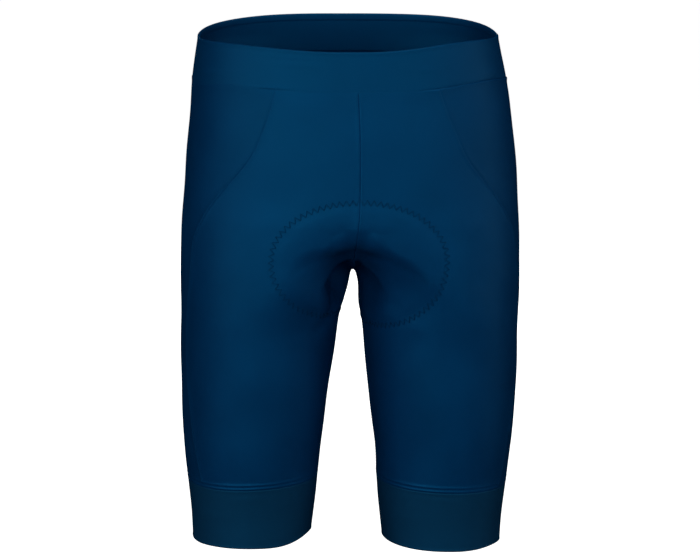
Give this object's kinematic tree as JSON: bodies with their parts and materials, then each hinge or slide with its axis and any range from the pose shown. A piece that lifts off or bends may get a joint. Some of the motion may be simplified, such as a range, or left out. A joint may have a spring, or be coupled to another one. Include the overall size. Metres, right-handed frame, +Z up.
{
  "type": "cycling shorts",
  "caption": "Knee-length men's cycling shorts, filled out and hollow, with an elastic waistband, curved side seams, leg grip bands and a sewn-in seat pad.",
  "frame": {"origin": "middle of the waist opening, halfway up the waistband at its sides, where the wearer's waist holds it", "axes": "+X to the wearer's left, +Y to the back, +Z up out of the waist opening"},
  "size_m": [0.338, 0.2448, 0.5234],
  "materials": {
    "body_cloth": "smooth deep blue stretch knit",
    "waistband_cloth": "smooth deep blue elastic knit, folded double",
    "leg_band_cloth": "matt grey-blue elastic knit, folded double",
    "seat_pad_cloth": "soft dark cloth over foam"
  },
  "bodies": {
    "root": {"waistband": "waistband_cloth", "front_left": "body_cloth", "front_right": "body_cloth", "back_left": "body_cloth", "back_right": "body_cloth", "leg_band_left": "leg_band_cloth", "leg_band_right": "leg_band_cloth", "seat_pad": "seat_pad_cloth"}
  },
  "joints": []
}
